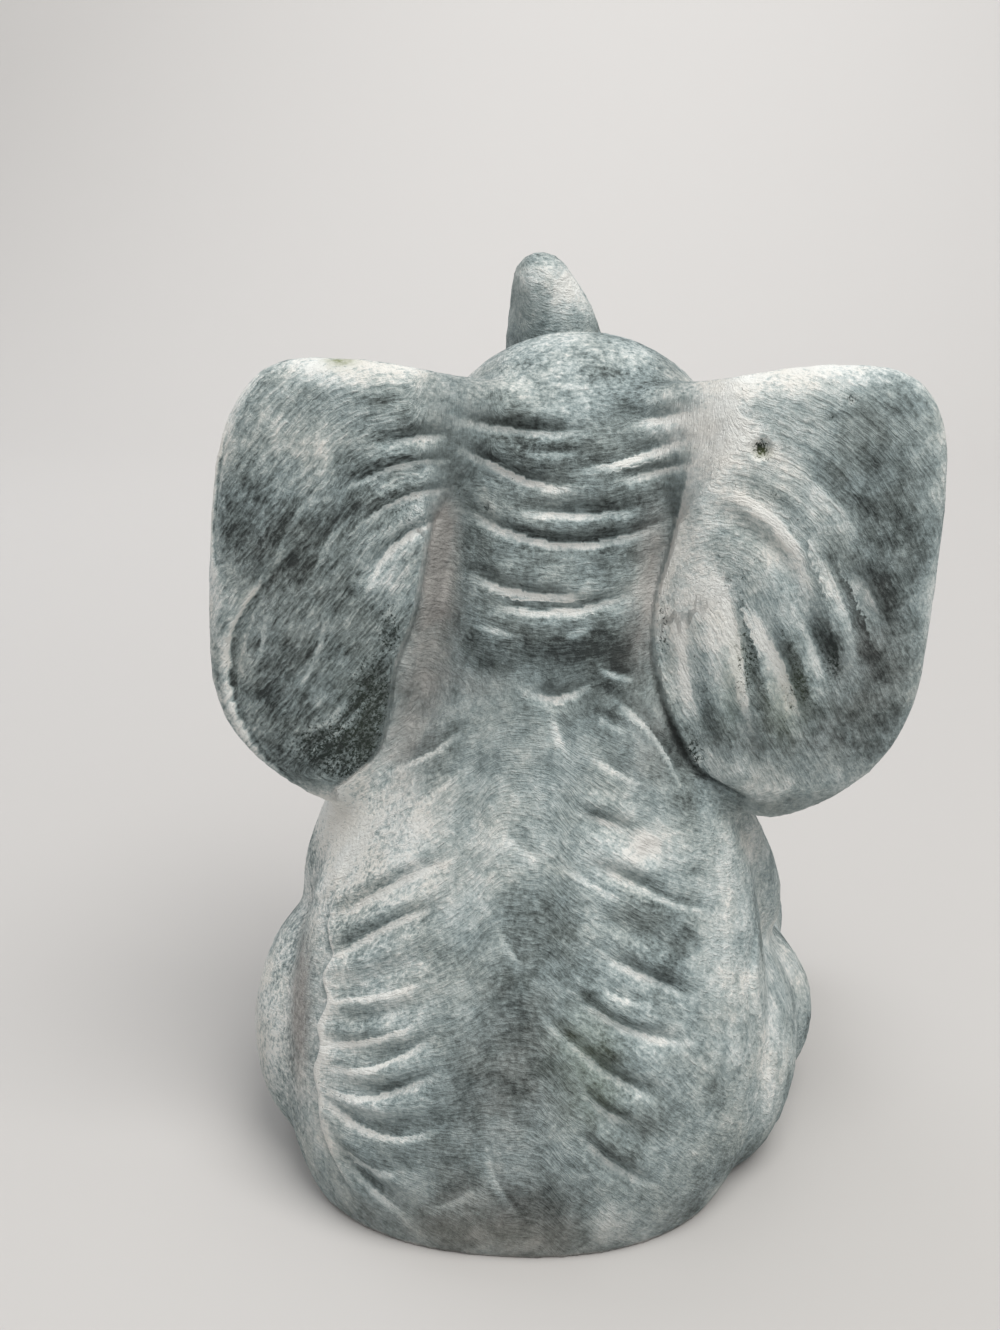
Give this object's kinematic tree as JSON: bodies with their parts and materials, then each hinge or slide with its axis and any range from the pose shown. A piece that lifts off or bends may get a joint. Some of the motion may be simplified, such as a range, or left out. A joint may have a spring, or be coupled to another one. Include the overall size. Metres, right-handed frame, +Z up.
{
  "type": "elephant planter",
  "caption": "Seated elephant figure in cast concrete with raised trunk, spread ears and creased back, holding a small round planting pot between its legs.",
  "frame": {"origin": "on the flat underside, on the figure's middle plane, below its seat", "axes": "+Z up, -Y the way the elephant faces, +X the elephant's own left"},
  "size_m": [0.1085, 0.1063, 0.1391],
  "materials": {
    "cast_concrete": "matt blue-green patina with a pale wash in the folds"
  },
  "bodies": {
    "root": {"elephant_planter": "cast_concrete"}
  },
  "joints": []
}
